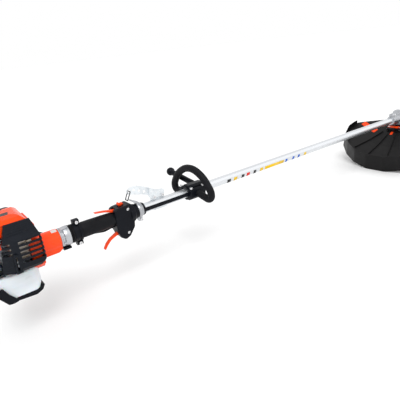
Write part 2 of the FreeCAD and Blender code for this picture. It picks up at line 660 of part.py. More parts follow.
def tank_guard():
    """Skid under the tank, turned up at the front and carried up behind to the starter."""
    outer = plate([(-76, -80), (-83, -92), (-98, -99), (-160, -95), (-186, -84),
                   (-198, -62), (-198, -48.5), (-187, -48.5), (-187, -72), (-174, -87.4),
                   (-92, -87.4), (-82, -78)],
                  [2, 8, 10, 14, 12, 8, 3, 0, 10, 12, 12, 2], "xz", -46, 46)
    rails = plate([(-86, -40), (-86, 40), (-184, 40), (-184, -40)], 10, "xy", -115, -92.2)
    window = plate([(-112, -24), (-112, 24), (-156, 24), (-156, -24)], 8, "xy", -116, -80)
    corner = plate([(-158, -47), (-176, -4), (-215, -4), (-215, -70), (-158, -70)], 0, "xy",
                   -110, -70)
    body = outer.cut(rails).cut(window).cut(corner)
    rear_window = plate([(-28, -82), (28, -82), (28, -58), (-28, -58)], 8, "yz", -200, -180)
    body = body.cut(rear_window)
    legs = []
    right_leg = [(-163, -93), (-152, -94.5), (-138, -92), (-156, -70), (-166, -50),
                 (-197, -50), (-197, -60), (-180, -68)]
    left_leg = [(-186, -84), (-160, -93.5), (-146, -92), (-174, -70), (-184, -50),
                (-197, -50), (-197, -66)]
    for side, reach, foot, outline in ((-1, 50.0, -156, right_leg), (1, 56.0, -184, left_leg)):
        legs.append(plate(outline, 3, "xz", *sorted((side * reach, side * (reach + 4.0)))))
        legs.append(box(foot, foot + 14, *sorted((side * 40, side * (reach + 1.0))), -92.5,
                        -87.6))
        legs.append(box(-196, -187, *sorted((side * 45, side * (reach + 1.0))), -60, -50))
    body = body.cut(cylinder((-200, 0, 0), X_DIR, 47.2, 50.0))
    return fuse(body, *legs)


# ---------------------------------------------------------------- isolator and grip
def isolator_bell():
    """Cast cup bolted to the clutch nose; the rubber sits in its mouth."""
    bell = turned([(0, 9.0), (0, 24.5), (3.0, 24.5), (4.5, 20.5), (9.0, 20.5), (11.0, 23.5),
                   (17.0, 25.5), (25.0, 25.5), (25.0, 22.5), (15.0, 22.5), (12.0, 15.1),
                   (4.1, 15.1), (4.1, 9.0)])
    ribs = []
    for i in range(8):
        rib = plate([(2.9, 18), (2.9, 24.3), (10.5, 23.8), (10.5, 18)], 0, "xz", -1.8, 1.8)
        ribs.append(spin(rib, 45 * i + 30))
    ears = []
    for angle in (20, 200):
        ear = plate([(3, 22), (22, 24), (22, 29), (8, 29), (3, 26)], 2, "xz", -5.0, 5.0)
        ears.append(spin(ear, angle))
    return fuse(bell, *ribs, *ears).translated(Vector(NOSE_X, 0, 0))


def isolator_rubber():
    return turned([(12.4, TUBE_R), (15.4, 22.4), (25.2, 22.4), (25.2, 23.5), (28.0, 24.6),
                   (30.0, 22.4), (32.5, 24.6), (36.0, 23.2), (36.0, TUBE_R)],
                  Vector(NOSE_X, 0, 0))


def rear_collar():
    """Split clamp at the front of the isolator, closed by two screws."""
    body = ring((28.2, 0, 0), X_DIR, 24.0, TUBE_R, 8.0)
    neck = ring((36.2, 0, 0), X_DIR, 23.0, TUBE_R, 12.0)
    lip = ring((42.0, 0, 0), X_DIR, 25.0, 22.4, 5.0)
    lugs = []
    for side in (1, -1):
        lug = plate([(-8, side * 18), (8, side * 18), (8, side * 35), (-8, side * 35)], 3, "yz",
                    32.0, 48.0)
        lugs.append(lug.cut(cylinder((20, 0, 0), X_DIR, 18.0, 40.0)))
    body = fuse(body, neck, lip, *lugs).cut(box(20, 50, -0.6, 0.6, 0, 40))
    for side in (1, -1):
        body = body.cut(cylinder((40, -20, side * 29.0), Y_DIR, SCREW_R, 40.0))
    return body


def rear_grip():
    grip = turned([(48.2, TUBE_R), (48.2, 20.0), (56.0, 21.0), (70.0, 21.0), (112.0, 20.4),
                   (134.0, 19.6), (141.0, 18.4), (141.0, TUBE_R)])
    for i in range(24):
        groove = cylinder((72, 0, 21.6), X_DIR, 1.1, 58.0)
        grip = grip.cut(spin(groove, 15 * i + 7.5))
    return grip


# ---------------------------------------------------------------- throttle control
THROTTLE_SIDE = [(141.5, 26), (150, 30), (190, 33), (198, 27), (201, 21), (201, -18), (196, -20),
                 (194, -35), (177, -57), (162, -64), (148, -54), (141.5, -34)]
THROTTLE_ROUND = [5, 6, 6, 4, 3, 3, 4, 5, 12, 9, 9, 8]
THROTTLE_ROOM = [(145, 16), (150, 25), (186, 28), (190, 18), (190, -16), (188, -33),
                 (174, -52), (162, -58), (152, -51), (145, -34)]
THROTTLE_HALF = 21.0
LEVER_ROOM = 7.6          # half width left for the trigger and the lock-out lever
PIVOT_R = 2.0
HOUSING_SCREWS = [(181, 20.5), (173, -46.0)]
HOUSING_SEAT_Y = -14.5
SWITCH_WINDOW = (159.0, 177.5, -5.4, 5.4)


def throttle_half(side):
    """One half of the control housing; the right half carries the two pivot pins."""
    low, high = sorted((0.0, side * THROTTLE_HALF))
    out = (0, side, 0)
    body = plate(THROTTLE_SIDE, THROTTLE_ROUND, "xz", low, high)
    body = soften_rims(body, 4.5, "y", side * THROTTLE_HALF)
    half_space = box(100, 260, *sorted((0.0, side * 40.0)), -90, 60)
    neck = turned([(188, 0), (188, 25.0), (199, 25.0), (203, 23.0), (203, 22.0), (207, 22.0),
                   (207, 20.2), (214, 20.2), (214, 0)]).common(half_space)
    body = fuse(body, neck)
    body = body.cut(plate(THROTTLE_ROOM, 4, "xz", *sorted((0, side * (THROTTLE_HALF - WALL)))))
    saddle = ring((146, 0, 0), X_DIR, TUBE_R + 2.2, TUBE_R, 44.0).common(half_space)
    bosses = [cylinder((x, 0, z), out, 4.5, THROTTLE_HALF - 1.0)
              for x, z in (TRIGGER_PIVOT, LOCK_PIVOT)]
    bosses = [boss.cut(box(100, 200, -LEVER_ROOM, LEVER_ROOM, -80, 60)) for boss in bosses]
    posts = [cylinder((x, 0, z), out, 6.0, THROTTLE_HALF - 1.0) for x, z in HOUSING_SCREWS]
    body = fuse(body, saddle, *bosses, *posts)
    mouth = plate([(120, -36), (146, -36), (163, -46), (160, -72), (120, -72)], 0, "xz",
                  -LEVER_ROOM, LEVER_ROOM)
    slot = plate([(130, 13.5), (143, 14.5), (160, 14.5), (160, 27), (143, 31), (130, 31)], 0,
                 "xz", -LEVER_ROOM, LEVER_ROOM)
    rooms = [
        cylinder((130, 0, 0), X_DIR, TUBE_R, 100.0),
        mouth,
        slot.cut(cylinder((120, 0, 0), X_DIR, TUBE_R + 1.9, 60)),
        box(*SWITCH_WINDOW, 25, 40),
        cylinder((139, 0, -22.0), X_DIR, 2.4, 12.0),
    ]
    for x, z in (TRIGGER_PIVOT, LOCK_PIVOT):
        rooms.append(cylinder((x, -18.0, z), Y_DIR, PIVOT_R, 36.0))
    for x, z in HOUSING_SCREWS:
        rooms.append(cylinder((x, HOUSING_SEAT_Y, z), Y_DIR, SCREW_R, SCREW_LENGTH))
        rooms.append(cylinder((x, HOUSING_SEAT_Y, z), (0, -1, 0), SCREW_HEAD_R + 0.3, 20.0))
    for room in rooms:
        body = body.cut(room)
    if side < 0:
        pins = [cylinder((x, -18.0, z), Y_DIR, PIVOT_R, 36.0)
                for x, z in (TRIGGER_PIVOT, LOCK_PIVOT)]
        body = fuse(body, *pins)
    return body


def throttle_trigger():
    x, z = TRIGGER_PIVOT
    outline = [(x + 6, z + 1), (x + 2, z + 6), (148, -38), (139, -43), (122, -51), (109, -62),
               (100, -76), (103.2, -78.2), (112.6, -66.6), (124.6, -56), (142, -49), (156, -49)]
    lever = plate(outline, [3, 3, 2, 8, 12, 12, 1.6, 1.6, 12, 12, 6, 4], "xz", -5.0, 5.0)
    lever = soften_rims(lever, 1.2, "y", -5.0, 5.0)
    arm = plate([(x - 2, z), (x + 5, z), (x + 12, z + 15), (x + 6, z + 17)], 1.5, "xz", -2.5, 2.5)
    return fuse(lever, arm).cut(cylinder((x, -10, z), Y_DIR, PIVOT_R + FIT, 20.0))


def throttle_lock():
    x, z = LOCK_PIVOT
    outline = [(x + 5, z - 3.4), (x + 5, z + 4), (138, 27.4), (120, 31.2), (94, 34.6),
               (93, 32.4), (120, 27.4), (140, 20.5)]
    lever = plate(outline, [2, 3, 8, 14, 1.0, 1.0, 14, 4], "xz", -5.0, 5.0)
    lever = soften_rims(lever, 0.9, "y", -5.0, 5.0)
    return lever.cut(cylinder((x, -10, z), Y_DIR, PIVOT_R + FIT, 20.0))


def stop_switch():
    rocker = plate([(161, 33.8), (176, 33.8), (174.5, 38.5), (169.5, 37.0), (164, 41.0),
                    (161, 39)], [0, 0, 1, 3, 1.5, 1.5], "xz", -5.0, 5.0)
    stem = box(165, 172, -3.0, 3.0, 27.0, 33.8)
    return fuse(rocker, stem)


def throttle_cable():
    """Sheathed cable from the control housing back along the tube to the carburettor."""
    return pipe([(151, 0, -22.0), (136, 0, -22.0), (112, 3, -27.0), (60, 36, -30),
                 (10, 44, -18), (-60, 60.0, 20), (-80, 63.5, 68.1), (-99, 63.5, 68.1)], 16.0, 2.4)


def clamp_ring():
    """Cast ring that locks the throttle housing's neck to the tube."""
    body = turned([(214.2, TUBE_R), (214.2, 21.0), (218, 22.4), (223, 21.0), (229.0, 18.8),
                   (229.0, TUBE_R)])
    lug_low = plate([(-8, -32), (8, -32), (8, -17), (-8, -17)], 2.5, "yz", 216.0, 226.0)
    lug_low = lug_low.cut(cylinder((192, 0, 0), X_DIR, 17.0, 60.0))
    tongue = plate([(198, 35.0), (201, 33.3), (215, 20.8), (225, 15), (227, 18), (222, 25.5),
                    (202, 37.0)], 0.8, "xz", -7.0, 7.0)
    tongue = tongue.cut(cylinder((192, 0, 0), X_DIR, 25.3, 22.1))
    body = fuse(body, lug_low, tongue)
    body = body.cut(box(212, 232, -0.5, 0.5, -40, 0))
    return body.cut(cylinder((221, -20, RING_SCREW_Z), Y_DIR, SCREW_R, 40.0))


# ---------------------------------------------------------------- tube and front fittings
def drive_tube():
    tube = ring((TUBE_X0, 0, 0), X_DIR, TUBE_R, TUBE_R - TUBE_WALL, TUBE_X1 - TUBE_X0)
    return tube


def tube_bushes():
    """Five ribbed liners that carry the drive shaft inside the tube."""
    bushes = []
    for x in (120, 450, 780, 1110, 1440):
        sleeve = ring((x, 0, 0), X_DIR, 7.0, SHAFT_R + FIT, 40.0)
        rings = [ring((x + offset, 0, 0), X_DIR, TUBE_R - TUBE_WALL, 6.9, 6.0)
                 for offset in (0, 34.0)]
        bushes.append(fuse(sleeve, *rings))
    return Part.makeCompound(bushes)


def drive_shaft():
    return cylinder((-20, 0, 0), X_DIR, SHAFT_R, TUBE_X1 + 8.0)


def handle_spacer():
    """Moulded strip on the tube's right side that keeps the hanger and handle apart."""
    collar = turned([(229.2, TUBE_R), (229.2, 18.6), (232.0, 18.6), (236.0, 17.2),
                     (236.0, TUBE_R)])
    strip = plate(arc_outline(SPACER_R, TUBE_R, *SPACER_ARC), 0, "yz", 235.5, 383.8)
    return fuse(collar, strip).cut(cylinder((222, 0, 0), X_DIR, TUBE_R, 168.0))


SPACER_R = 17.6
SPACER_ARC = (158.0, 196.0)   # degrees from +Y towards +Z, seen from the front


def arc_outline(outer, inner, start, end):
    steps = 8
    angles = [math.radians(start + (end - start) * i / steps) for i in range(steps + 1)]
    far = [(outer * math.cos(a), outer * math.sin(a)) for a in angles]
    near = [(inner * math.cos(a), inner * math.sin(a)) for a in reversed(angles)]
    return far + near


def hanger_clamp():
    """Open clamp round the tube with the ear that the harness plate is screwed to."""
    shell = ring((268, 0, 0), X_DIR, 16.6, TUBE_R, 40.0)
    gap = plate([polar(24.0, a) for a in (97, 115, 133, 150, 167, 184, 199)] + [(0, 0)], 0,
                "yz", 260, 320)
    ear = plate([(0.2, 12), (11.0, 12), (11.0, 30), (0.2, 30)], [0, 0, 3, 0], "yz", 266, 310)
    ear = ear.cut(cylinder((260, 0, 0), X_DIR, 16.0, 60))
    body = fuse(shell.cut(gap), ear)
    for x in HANGER_SCREW_X:
        body = body.cut(cylinder((x, -10, 23.0), Y_DIR, SCREW_R, 24.0))
    return body


HANGER_SCREW_X = (274.0, 302.0)


HANGER_HOLES = [(201, 62), (216, 61.5), (231, 55), (246, 48)]
HANGER_HOLE_R = 4.0
HANGER_Y = (-2.2, 0.0)


def hanger_plate():
    """Zinc plate for the harness hook, standing on edge above the tube."""
    side = [(192, 56), (194, 68), (208, 73), (228, 71), (262, 56), (282, 44), (306, 40),
            (311, 34), (309, 22), (306, 18.2), (268, 18.2), (262, 26), (257, 34), (240, 41),
            (216, 48)]
    body = plate(side, [7, 7, 14, 14, 6, 8, 6, 4, 4, 1, 2, 5, 8, 12, 14], "xz", *HANGER_Y)
    flange = plate([(258.5, 27), (261.5, 27), (261.5, 55), (258.5, 56.5)], 0, "xz", -8.0, 0.0)
    body = fuse(body, flange)
    for x, z in HANGER_HOLES:
        body = body.cut(cylinder((x, -12, z), Y_DIR, HANGER_HOLE_R, 20.0))
    for x, z in ((271, 40.0), (284, 34.5), (297, 34.0)):
        body = body.cut(cylinder((x, -5, z), Y_DIR, 2.2, 10.0))
    for x in HANGER_SCREW_X:
        body = body.cut(cylinder((x, -5, 23.0), Y_DIR, SCREW_R, 10.0))
    return body


def hanger_link():
    """Wire bail that hangs in the rearmost hole of the plate."""
    x, z = HANGER_HOLES[0]
    low = (x - 11.0, z - 22.5)
    return rod_chain([(x, 7.0, z), (x, -9.0, z), (low[0], -7.5, low[1]), (low[0], 5.5, low[1]),
                      (x, 7.0, z)], 1.4)


def handle_clamp():
    """Moulded clamp, slit on its left, that holds the loop handle and the barrier bar."""
    body = ring((384, 0, 0), X_DIR, 21.0, TUBE_R, 62.0)
    saddle = plate([(-17, 0), (17, 0), (17, 21), (10, 25), (-10, 25), (-17, 21)], 5, "yz",
                   388, 444)
    saddle = soften_rims(saddle, 2.5, "x", 388, 444)
    block = plate([(-29, -14), (29, -14), (29, 16), (-29, 16)], 6, "yz", 386, 440)
    block = soften_rims(block, 2.5, "x", 386, 440)
    keel = plate([(-14, -12), (14, -12), (12, -23), (-12, -23)], 5, "yz", 390, 436)
    block = block.fuse(box(382, 392, 14, 29, -14, 16))
    body = fuse(body, saddle, block, keel)
    rooms = [cylinder((380, 0, 0), X_DIR, TUBE_R, 70), box(380, 445, 12, 40, 3.6, 4.4)]
    rooms += [cylinder((x, y, 0), Z_DIR, SCREW_R, 40.0) for x, y in HANDLE_SCREWS]
    rooms += [cylinder((x, y, -5.0), Z_DIR, SCREW_R, 6.0) for x, y in HANDLE_SCREWS]
    rooms.append(loop_handle())
    rooms.append(barrier_bar())
    for room in rooms:
        body = body.cut(room)
    return body


HANDLE_SCREWS = [(391.5, -22.5), (434, -22.5), (387.5, 23.5)]


LOOP_POINTS = [(HANDLE_X, -18.0, 1.0), (HANDLE_X, -79.0, -19.0), (HANDLE_X, -81.0, 10.0),
               (HANDLE_X, -54.0, 51.0), (HANDLE_X, -18.0, 72.5), (HANDLE_X, 18.0, 72.5),
               (HANDLE_X, 54.0, 51.0), (HANDLE_X, 76.0, 16.0), (HANDLE_X, 75.0, -12.0),
               (HANDLE_X, 16.5, 1.5)]
LOOP_BENDS = [14.0, 32.0, 80.0, 60.0, 60.0, 80.0, 32.0, 14.0]


def loop_handle():
    return turned_left(pipe(LOOP_POINTS, LOOP_BENDS, HANDLE_R))


def turned_left(shape):
    return spin(shape, HANDLE_YAW, Vector(HANDLE_X, 0, 0), Vector(0, 0, 1))


def barrier_bar():
    way = BAR_TIP - BAR_ROOT
    bar = Part.makeCylinder(9.0, way.Length, BAR_ROOT, way)
    return turned_left(fuse(bar, Part.makeSphere(13.5, BAR_TIP)))


BAR_ROOT = Vector(HANDLE_X + 22.0, 17.0, 16.0)
BAR_TIP = Vector(HANDLE_X + 22.0, 114.0, 40.0)
RING_SCREW_Z = -26.8


# ---------------------------------------------------------------- gear head
def bevel_angles():
    """Pitch cone half angles of pinion and gear for axes that meet at 60 degrees."""
    sigma = math.radians(60)
    ratio = GEAR_TEETH / PINION_TEETH
    pinion = math.atan2(math.sin(sigma), ratio + math.cos(sigma))
    return pinion, sigma - pinion


def bevel_gear(axis, cone, teeth, bore, phase):
    """Straight bevel gear with its cone apex at the axes' crossing.

    The first tooth centre sits phase pitches away from the line where the pair meshes.
    """
    module_angle = 2 * math.sin(cone) / teeth
    tip = cone + 0.85 * module_angle
    root = cone - 1.0 * module_angle
    pitch = 2 * math.pi / teeth
    out_axial, in_axial = CONE_OUT * math.cos(root), CONE_IN * math.cos(root)
    blank = turned([(in_axial, bore), (in_axial, CONE_IN * math.sin(root)),
                    (out_axial, CONE_OUT * math.sin(root)), (out_axial + 3.0, CONE_OUT
                    * math.sin(root) * 0.9), (out_axial + 3.0, bore)])
    teeth_solids = []
    for i in range(teeth):
        middle = (i + phase) * pitch
        corners = {}
        for name, polar, half in (("root", root - 0.02, 0.31), ("tip", tip, 0.11)):
            for sign in (-1, 1):
                turn = middle + sign * half * pitch
                corners[name, sign] = Vector(math.cos(polar), math.sin(polar) * math.cos(turn),
                                             math.sin(polar) * math.sin(turn))
        order = [("root", -1), ("root", 1), ("tip", 1), ("tip", -1)]
        near = [corners[key] * CONE_IN for key in order]
        far = [corners[key] * CONE_OUT for key in order]
        faces = [near, far] + [[near[j], near[(j + 1) % 4], far[(j + 1) % 4], far[j]]
                               for j in range(4)]
        shell = Part.Shell([Part.Face(Part.makePolygon(f + f[:1])) for f in faces])
        solid = Part.Solid(shell)
        if solid.Volume < 0:
            solid.reverse()
        teeth_solids.append(solid)
    gear = fuse(blank, *teeth_solids)
    side = Vector(0, 1, 0)
    across = axis.cross(side)
    return moved_to_head(gear, axis, across, side * -1)


def mesh_direction():
    pinion_cone, gear_cone = bevel_angles()
    return Vector(-math.cos(pinion_cone), 0, math.sin(pinion_cone))


def pinion_gear():
    cone = bevel_angles()[0]
    axis = Vector(-1, 0, 0)
    gear = bevel_gear(axis, cone, PINION_TEETH, 0.0, mesh_phase(axis, 0.0, PINION_TEETH))
    stem_x = TUBE_X1 - 24.0
    stem = cylinder((stem_x, 0, 0), X_DIR, BEARING_IN_R, HEAD_X - 24.0 - stem_x)
    stem = stem.cut(cylinder((stem_x - 1, 0, 0), X_DIR, SHAFT_R, 13.0))
    return fuse(gear, stem)


def mesh_phase(axis, offset, teeth):
    """Pitches to turn the first tooth so that it faces the mesh line, plus offset."""
    across = axis.cross(Vector(0, 1, 0))
    angle = 0.0 if mesh_direction().dot(across) > 0 else math.pi
    return angle * teeth / (2 * math.pi) + offset


def output_gear():
    cone = bevel_angles()[1]
    axis = BLADE_DIR * -1
    return bevel_gear(axis, cone, GEAR_TEETH, OUTPUT_R,
                      mesh_phase(axis, 0.5, GEAR_TEETH))


def output_shaft():
    seat = Part.makeCylinder(OUTPUT_R, 34.0 + BLADE_D - 2.0, HEAD - BLADE_DIR * 34.0, BLADE_DIR)
    thread = Part.makeCylinder(ARBOR_R, 26.0, HEAD + BLADE_DIR * (BLADE_D - 2.0), BLADE_DIR)
    return fuse(seat, thread)


def gear_case():
    """Cast head: split socket for the tube, a bulb round the bevel pair, shield flange."""
    socket = turned([(1546, 0), (1546, 19.0), (1572, 20.0), (1584, 23.0), (1600, 23.0),
                     (1600, 0)])
    ear = plate([(-10, 10), (10, 10), (10, 30), (-10, 30)], 4, "yz", 1550.0, 1574.0)
    tower = Part.makeCone(17.0, 22.5, 16.0, HEAD - BLADE_DIR * 37.0, BLADE_DIR)
    belly = Part.makeCylinder(22.5, 34.0, HEAD - BLADE_DIR * 21.0, BLADE_DIR)
    collar = Part.makeCylinder(19.0, 20.0, HEAD + BLADE_DIR * 13.0, BLADE_DIR)
    flange = plate([(-32, -36), (60, -36), (60, 36), (-32, 36)], 10, "xy",
                   SHIELD_TOP_D - FLANGE_T, SHIELD_TOP_D)
    for x, y in SHIELD_SCREWS:
        flange = flange.cut(cylinder((x, y, 0), Z_DIR, SCREW_R, 60))
    body = fuse(socket, ear, tower, belly, collar, head_frame(flange))
    rooms = [
        cylinder((1540, 0, 0), X_DIR, TUBE_R, TUBE_X1 - 1540),
        cylinder((1570, 0, 0), X_DIR, BEARING_OUT_R, 22.0),
        Part.makeCone(12.0, 19.4, 12.0, Vector(1588, 0, 0), Vector(1, 0, 0)),
        Part.makeCylinder(19.4, 38.2, HEAD - BLADE_DIR * 26.0, BLADE_DIR),
        Part.makeCylinder(BEARING_OUT_R, 56.0, HEAD - BLADE_DIR * 34.0, BLADE_DIR),
        Part.makeCylinder(10.0, 30.0, HEAD + BLADE_DIR * 12.0, BLADE_DIR),
        box(1540, 1577, -0.8, 0.8, 0, 32),
        cylinder((1562, -14, 23.0), Y_DIR, SCREW_R, 28.0),
    ]
    for room in rooms:
        body = body.cut(room)
    return body


def m5_screws():
    """Every cap screw of the machine: one size, driven the way its joint needs."""
    screws = [cap_screw((-76, y, z), (-1, 0, 0)) for y, z in SHROUD_LUGS]
    screws += [cap_screw((40, -8.0, z), Y_DIR) for z in (-29.0, 29.0)]
    screws += [cap_screw((x, HOUSING_SEAT_Y, z), Y_DIR) for x, z in HOUSING_SCREWS]
    screws.append(cap_screw((221, -8.0, RING_SCREW_Z), Y_DIR))
    screws += [cap_screw((x, HANGER_Y[0], 23.0), Y_DIR) for x in HANGER_SCREW_X]
    screws += [cap_screw((x, y, 16.0), (0, 0, -1)) for x, y in HANDLE_SCREWS]
    screws.append(cap_screw((1562, -10.0, 23.0), Y_DIR))
    for back, left in SHIELD_SCREWS:
        screws.append(cap_screw(on_head(back, left, SHIELD_TOP_D - FLANGE_T), BLADE_DIR))
    return Part.makeCompound(screws)


def blade_holder():
    """Splined adapter above the blade, with the spigot that centres it."""
    boss = Part.makeCylinder(9.0, BLADE_D - 38.0, HEAD + BLADE_DIR * 34.0, BLADE_DIR)
    cup = Part.makeCone(20.0, 31.0, 6.0, HEAD + BLADE_DIR * (BLADE_D - 12.0), BLADE_DIR)
    disc = Part.makeCylinder(31.0, 6.0, HEAD + BLADE_DIR * (BLADE_D - 6.0), BLADE_DIR)
    spigot = Part.makeCylinder(12.7, BLADE_T, HEAD + BLADE_DIR * BLADE_D, BLADE_DIR)
    body = fuse(boss, cup, disc, spigot)
    body = body.cut(Part.makeCylinder(OUTPUT_R, BLADE_D - 2.0, HEAD, BLADE_DIR))
    return body.cut(Part.makeCylinder(ARBOR_R, 120, HEAD, BLADE_DIR))


def head_frame(shape):
    """Move a shape drawn about Z (down the blade) onto the blade axis."""
    return moved_to_head(shape, BACK_DIR, LEFT_DIR, BLADE_DIR)


def moved_to_head(shape, first, second, third):
    """Carry a shape's own X, Y and Z onto three directions at the axes' crossing."""
    matrix = FreeCAD.Matrix(first.x, second.x, third.x, HEAD.x, first.y, second.y, third.y,
                            HEAD.y, first.z, second.z, third.z, HEAD.z, 0, 0, 0, 1)
    moved = shape.copy()
    moved.transformShape(matrix, True)
    return moved


def polar(radius, degrees):
    return radius * math.cos(math.radians(degrees)), radius * math.sin(math.radians(degrees))


def blade():
    """Four-toothed brush blade."""
    outline = []
    step = 360.0 / BLADE_TEETH
    for i in range(BLADE_TEETH):
        base = i * step + step / 2
        outline += [polar(64.0, base - 34), polar(96.0, base - 16), polar(BLADE_R, base - 7),
                    polar(BLADE_R, base + 5), polar(70.0, base + 12), polar(58.0, base + 34)]
    radii = [10, 30, 1, 1, 12, 20] * BLADE_TEETH
    disc = plate(outline, radii, "xy", BLADE_D, BLADE_D + BLADE_T)
    disc = disc.cut(cylinder((0, 0, BLADE_D - 1), Z_DIR, 12.7, BLADE_T + 2))
    holes = around(cylinder((44, 0, BLADE_D - 1), Z_DIR, 4.0, BLADE_T + 2), 4,
                   Vector(0, 0, 0), Vector(0, 0, 1))
    for hole in holes:
        disc = disc.cut(hole)
    return head_frame(disc)



def stabiliser_cup():
    low = BLADE_D + BLADE_T
    cup = turned([(0, ARBOR_R), (0, 24.0), (6, 34.0), (13, 37.0), (16, 34.0), (17, 22.0),
                  (14.5, 20.0), (3.0, 18.0), (3.0, ARBOR_R)], Vector(0, 0, low), Vector(0, 0, 1))
    return head_frame(cup)


def blade_nut():
    low = BLADE_D + BLADE_T + 3.0
    nut = hexagon((0, 0, low), Z_DIR, 17.0, 9.0)
    nut = fuse(nut, cylinder((0, 0, low), Z_DIR, 12.0, 2.0))
    return head_frame(nut.cut(cylinder((0, 0, low - 1), Z_DIR, ARBOR_R, 14.0)))


# ---------------------------------------------------------------- shield
def rim_wire(down, inset, front):
    """Outline of the shield at a depth down the blade axis, set in from its outer face.

    front is how far the open front edge lies ahead of the outer outline's.
    """
    share = (down - SHIELD_TOP_D) / (SHIELD_LOW_D - SHIELD_TOP_D)
    left = []
    for degrees, upper, lower in SHIELD_RIM:
        radius = upper + (lower - upper) * share - inset
        left.append(polar(radius, degrees))
    left[0] = (left[0][0] - front, left[0][1] + inset)
    left.insert(0, (SHIELD_FRONT - front, 40.0))
    if front > 0:
        left[1] = (left[2][0] - front, left[2][1])
    right = [(back, -side) for back, side in left]
    return rounded_wire(left + right[::-1], 40.0, "xy", down)


SHIELD_FRONT = -24.0      # front edge of the shield beside the gear case flange


def flare(high, low, inset, front=0.0):
    """Solid between the shield's outlines at two depths."""
    wires = [rim_wire(high, inset, front), rim_wire(low, inset, front)]
    return Part.makeLoft(wires, True, True)


def shield():
    """Flared guard round the back of the blade with a sunken, ribbed deck."""
    body = flare(SHIELD_TOP_D, SHIELD_LOW_D, 0.0)
    under = flare(SHIELD_DECK_D + SHIELD_T, SHIELD_LOW_D + 1.0, SHIELD_T, 60.0)
    above = flare(SHIELD_TOP_D - 1.0, SHIELD_DECK_D, SHIELD_T + 2.0, 60.0)
    cone_high = SHIELD_TOP_D + 8.0
    cone = turned([(SHIELD_DECK_D, 150.0), (SHIELD_DECK_D + SHIELD_T, 150.0),
                   (cone_high + SHIELD_T, 70.0), (cone_high + SHIELD_T, 0.0), (cone_high, 0.0),
                   (cone_high, 70.0)], Vector(0, 0, 0), Vector(0, 0, 1))
    cone = cone.common(flare(SHIELD_TOP_D, SHIELD_LOW_D, SHIELD_T))
    hub = cylinder((0, 0, 0), Z_DIR, 148.0, 100.0)
    body = body.cut(under).cut(above).cut(hub)
    ribs = []
    for angle in (-36, -12, 12, 36):
        rib = plate([(80, cone_high + 1.5), (140, SHIELD_DECK_D + 1.0),
                     (225, SHIELD_DECK_D + 1.0), (225, SHIELD_DECK_D - 5), (150, SHIELD_DECK_D - 5),
                     (80, cone_high - 4)], 0, "xz", -1.5, 1.5)
        ribs.append(spin(rib, angle, Vector(0, 0, 0), Vector(0, 0, 1)))
    boss = plate([(-30, -36), (60, -36), (60, 36), (-30, 36)], 10, "xy", SHIELD_TOP_D,
                 SHIELD_TOP_D + 10.0)
    body = fuse(body, cone, boss, *ribs)
    body = body.cut(cylinder((0, 0, 0), Z_DIR, 19.2, 60))
    for x, y in SHIELD_SCREWS:
        body = body.cut(cylinder((x, y, 0), Z_DIR, SCREW_R, 60))
    return head_frame(body)


SHIELD_SCREWS = [(46, -24), (46, 24), (-16, -28), (-16, 28)]
# (back, left, length, width, degrees) of each inlay in the shield's deck
ACCENT_PATCHES = [(37, 134, 112, 24, -61), (37, -134, 112, 24, 61)]


def shield_accents():
    """Orange inlays clipped onto the cone and the deck of the shield."""
    rise = SHIELD_TOP_D + 8.0
    skin = turned([(SHIELD_DECK_D - 1.5, 232.0), (SHIELD_DECK_D, 232.0), (SHIELD_DECK_D, 150.0),
                   (rise, 70.0), (rise - 1.5, 70.0), (SHIELD_DECK_D - 1.5, 150.0)],
                  Vector(0, 0, 0), Vector(0, 0, 1))
    patches = []
    for back, side, length, width, degrees in ACCENT_PATCHES:
        half, across = length / 2, width / 2
        patch = plate([(-half, -across), (half, -across), (half, across), (-half, across)], 5,
                      "xy", rise - 2.0, SHIELD_DECK_D + 1.0)
        patch = spin(patch, degrees, Vector(0, 0, 0), Vector(0, 0, 1))
        patches.append(patch.translated(Vector(back, side, 0)).common(skin))
    return head_frame(Part.makeCompound(patches))


